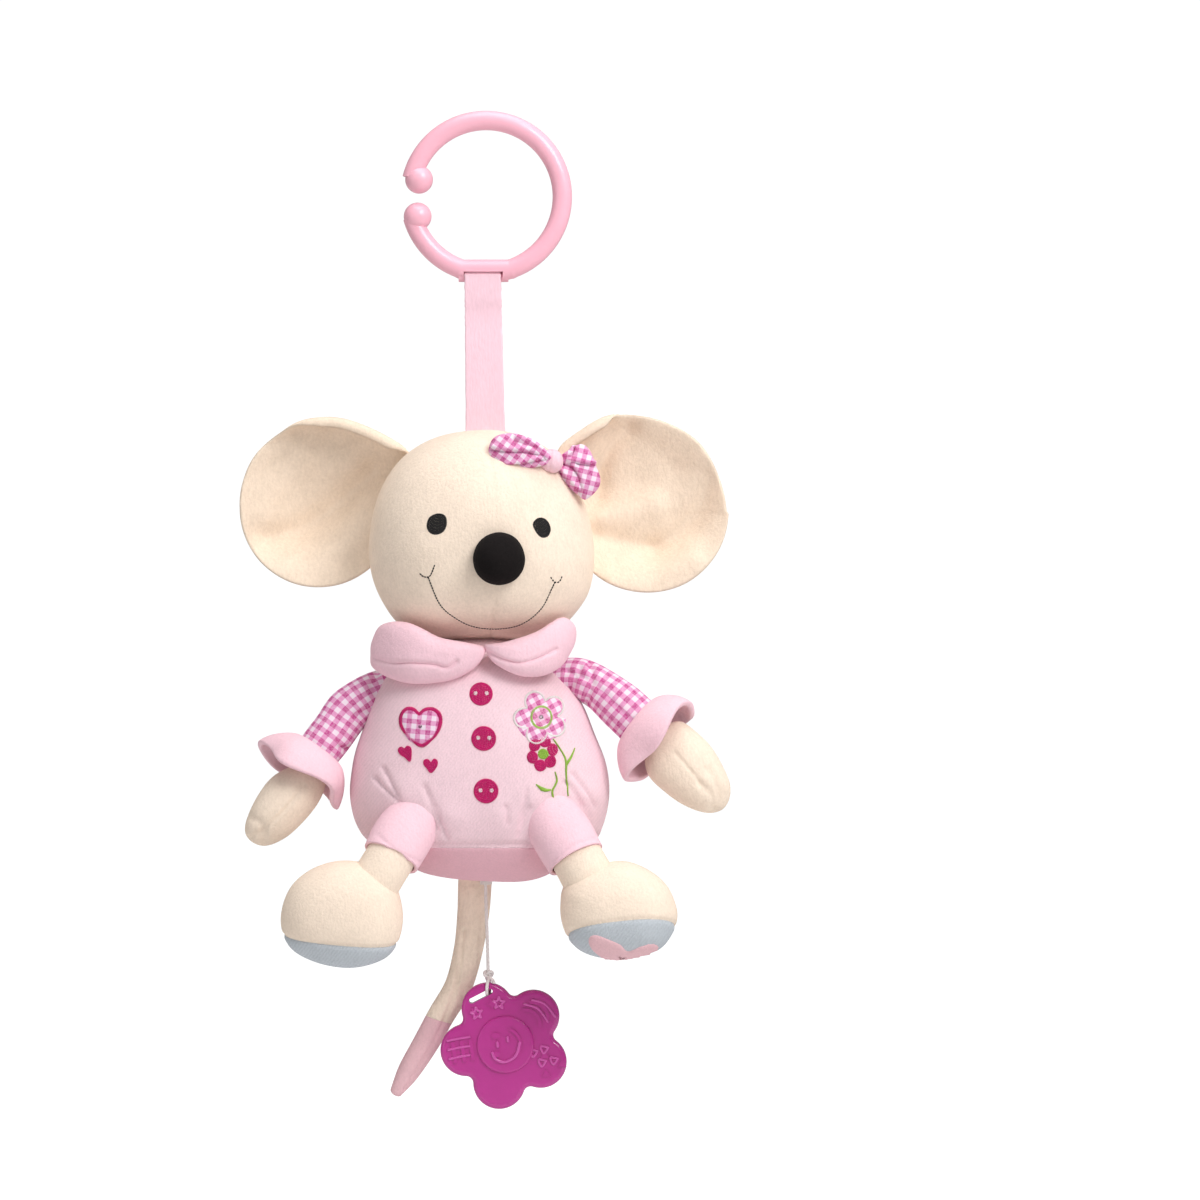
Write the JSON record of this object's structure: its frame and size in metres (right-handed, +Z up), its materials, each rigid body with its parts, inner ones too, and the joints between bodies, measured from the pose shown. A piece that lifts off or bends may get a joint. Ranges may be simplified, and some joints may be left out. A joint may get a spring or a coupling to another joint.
{
  "type": "hanging musical pull toy",
  "caption": "Stuffed plush mouse that hangs from an open plastic ring and plays a tune while its pulled cord, with a flower handle, winds back in.",
  "frame": {"origin": "point inside the top of the ring that rests on the rail or hook it hangs from", "axes": "+Z up, +X to the viewer's right when facing the mouse, +Y away from the viewer; left and right in names are the viewer's"},
  "size_m": [0.2742, 0.135, 0.5587],
  "materials": {
    "ring_plastic": "gloss",
    "pink_tape": "matte",
    "cream_plush": "matte",
    "stuffing": "matte",
    "black_plush": "matte",
    "black_thread": "satin",
    "gingham": "matte",
    "pink_plush": "matte",
    "pink_velour": "matte",
    "dusky_velour": "matte",
    "grey_velour": "matte",
    "magenta_thread": "satin",
    "green_thread": "satin",
    "white_cord": "matte",
    "magenta_plastic": "gloss",
    "white_plastic": "satin",
    "steel": "satin",
    "brass": "satin"
  },
  "bodies": {
    "ring": {"hanging_ring": "ring_plastic"},
    "strap": {"hanging_strap": "pink_tape"},
    "head": {"head_skin": "cream_plush", "head_stuffing": "stuffing", "nose": "black_plush", "eye_left": "black_thread", "eye_right": "black_thread", "mouth_stitch": "black_thread", "bow_knot": "pink_tape", "bow_loop_left": "gingham", "bow_loop_right": "gingham"},
    "ear_left": {"ear_left_front": "cream_plush", "ear_left_back": "cream_plush"},
    "ear_right": {"ear_right_front": "cream_plush", "ear_right_back": "cream_plush"},
    "torso": {"torso_front": "pink_velour", "torso_back": "pink_velour", "base_panel": "dusky_velour", "torso_stuffing": "stuffing", "collar_left": "pink_plush", "collar_right": "pink_plush", "heart_patch": "gingham", "flower_patch": "gingham", "green_stitching": "green_thread", "magenta_stitching": "magenta_thread", "cord_grommet": "white_plastic", "music_case": "white_plastic", "music_case_lid": "white_plastic", "case_screws": "steel", "movement_axles": "steel", "mainspring": "steel", "comb": "steel", "comb_bedplate": "brass", "comb_screws": "steel"},
    "arm_left": {"sleeve_left": "gingham", "cuff_left": "pink_plush", "hand_left": "cream_plush"},
    "arm_right": {"sleeve_right": "gingham", "cuff_right": "pink_plush", "hand_right": "cream_plush"},
    "leg_left": {"trouser_left": "pink_plush", "leg_left": "cream_plush", "foot_left": "cream_plush", "sole_left": "grey_velour"},
    "leg_right": {"trouser_right": "pink_plush", "leg_right": "cream_plush", "foot_right": "cream_plush", "sole_right": "grey_velour", "sole_heart": "pink_plush"},
    "tail": {"tail": "cream_plush", "tail_tip": "pink_plush"},
    "drum": {"cord_drum": "white_plastic", "cord_winding": "white_cord"},
    "cylinder": {"music_cylinder": "brass", "cylinder_gear": "white_plastic"},
    "governor": {"governor_pinion": "white_plastic", "governor_fan": "white_plastic"},
    "pull": {"pull_cord": "white_cord", "cord_knot": "white_cord"},
    "flower": {"flower_pull": "magenta_plastic"}
  },
  "joints": [
    {"name": "ring_swing", "type": "hinge", "parent": "ring", "child": "strap", "pos_m": [-0.0014, 0, -0.082], "axis": [1, 0, 0], "range_deg": [-25, 25]},
    {"name": "strap_bend", "type": "hinge", "parent": "strap", "child": "head", "pos_m": [-0.0014, 0, -0.167], "axis": [1, 0, 0], "range_deg": [-20, 20]},
    {"name": "ear_left_fold", "type": "hinge", "parent": "head", "child": "ear_left", "pos_m": [-0.0654, 0.008, -0.211], "axis": [0, 0, 1], "range_deg": [-20, 25], "stiffness_Nm_per_rad": 0.02},
    {"name": "ear_right_fold", "type": "hinge", "parent": "head", "child": "ear_right", "pos_m": [0.0592, 0.008, -0.212], "axis": [0, 0, 1], "range_deg": [-25, 20], "stiffness_Nm_per_rad": 0.02},
    {"name": "neck_turn", "type": "hinge", "parent": "head", "child": "torso", "pos_m": [-0.004, 0.003, -0.287], "axis": [0, 0, 1], "range_deg": [-20, 20], "stiffness_Nm_per_rad": 0.12},
    {"name": "arm_left_swing", "type": "hinge", "parent": "torso", "child": "arm_left", "pos_m": [-0.0638, -0.003, -0.3144], "axis": [1, 0, 0], "range_deg": [-30, 30], "stiffness_Nm_per_rad": 0.08},
    {"name": "arm_right_swing", "type": "hinge", "parent": "torso", "child": "arm_right", "pos_m": [0.05, -0.003, -0.308], "axis": [1, 0, 0], "range_deg": [-30, 30], "stiffness_Nm_per_rad": 0.08},
    {"name": "leg_left_swing", "type": "hinge", "parent": "torso", "child": "leg_left", "pos_m": [-0.043, -0.03, -0.386], "axis": [1, 0, 0], "range_deg": [-40, 5], "stiffness_Nm_per_rad": 0.3},
    {"name": "leg_right_swing", "type": "hinge", "parent": "torso", "child": "leg_right", "pos_m": [0.04, -0.03, -0.387], "axis": [1, 0, 0], "range_deg": [-40, 5], "stiffness_Nm_per_rad": 0.3},
    {"name": "tail_swing", "type": "hinge", "parent": "torso", "child": "tail", "pos_m": [-0.008, 0.0145, -0.431], "axis": [1, 0, 0], "range_deg": [0, 40], "stiffness_Nm_per_rad": 0.05},
    {"name": "cord_pull", "type": "slide", "parent": "torso", "child": "pull", "axis": [0, 0, -1], "range_m": [-0.035, 0.15], "deforming": ["pull_cord"]},
    {"name": "flower_swing", "type": "hinge", "parent": "pull", "child": "flower", "pos_m": [0.0012, 0, -0.4827], "axis": [0, 1, 0], "range_deg": [-30, 35]},
    {"name": "drum_spin", "type": "hinge", "parent": "torso", "child": "drum", "pos_m": [0, 0.01, -0.372], "axis": [1, 0, 0], "continuous": true},
    {"name": "cylinder_spin", "type": "hinge", "parent": "torso", "child": "cylinder", "pos_m": [0, 0.01, -0.348], "axis": [1, 0, 0], "continuous": true},
    {"name": "governor_spin", "type": "hinge", "parent": "torso", "child": "governor", "pos_m": [0, -0.00955, -0.37911], "axis": [1, 0, 0], "continuous": true}
  ],
  "couplings": [
    {"joint": "drum_spin", "follows": "cord_pull", "rad_per_m": 100},
    {"joint": "cylinder_spin", "follows": "cord_pull", "rad_per_m": -200},
    {"joint": "governor_spin", "follows": "cord_pull", "rad_per_m": -333.33}
  ]
}
